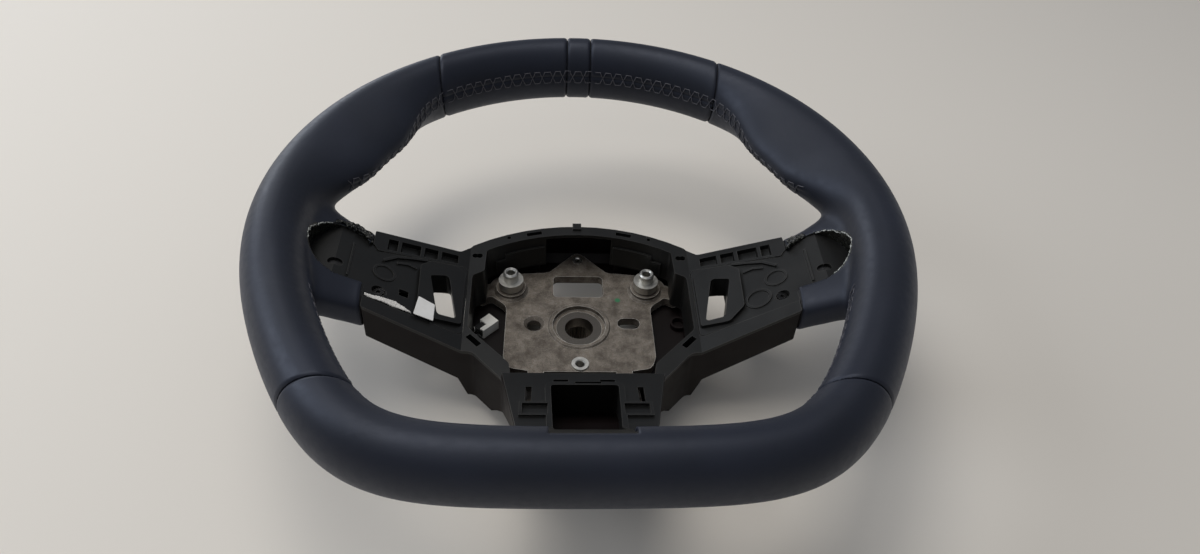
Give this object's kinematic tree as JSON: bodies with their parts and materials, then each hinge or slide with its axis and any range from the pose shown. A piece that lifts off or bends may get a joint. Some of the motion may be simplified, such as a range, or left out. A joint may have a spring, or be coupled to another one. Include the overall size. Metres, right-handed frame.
{
  "type": "car steering wheel",
  "caption": "Bare leather-wrapped car steering wheel with a flat bottom, cast hub plate and open airbag bay, stripped of airbag, switches and trim.",
  "frame": {"origin": "on the steering axis, in the middle of the column bore's plain stretch", "axes": "+Z along the steering axis towards the driver, +Y to 12 o'clock, +X to the driver's right; the wheel lies flat, face up, on the collar of its rear cover"},
  "size_m": [0.3696, 0.3649, 0.1217],
  "materials": {
    "casting": "as-cast, mottled, bright at the edges",
    "steel": "turned, bare",
    "zinc_plate": "turned, zinc plated",
    "foam": "moulded foam skin",
    "leather": "smooth, satin, very dark navy",
    "black_moulding": "moulded, satin black",
    "rear_moulding": "moulded, fine grain",
    "black_steel": "blackened",
    "lead_sleeve": "woven sleeve",
    "white_moulding": "moulded white",
    "label_paper": "blank label",
    "fleece": "white fleece"
  },
  "bodies": {
    "root": {"armature": "casting", "column_bush": "steel", "post_left": "zinc_plate", "post_right": "zinc_plate", "upper_insert": "zinc_plate", "lower_insert": "zinc_plate", "rim_foam": "foam", "leather_left": "leather", "leather_right": "leather", "leather_top_left": "leather", "leather_top_right": "leather", "leather_top_band": "leather", "leather_bottom": "leather", "bay_frame": "black_moulding", "lower_frame": "black_moulding", "tray_left": "black_moulding", "tray_right": "black_moulding", "window_bracket_left": "black_moulding", "window_bracket_right": "black_moulding", "rear_cover": "rear_moulding", "tray_screws": "black_steel", "cover_screws": "black_steel", "heater_lead": "lead_sleeve", "lead_connector": "white_moulding", "lead_plug": "black_moulding", "lead_label": "label_paper", "fleece_strip": "fleece"}
  },
  "joints": []
}
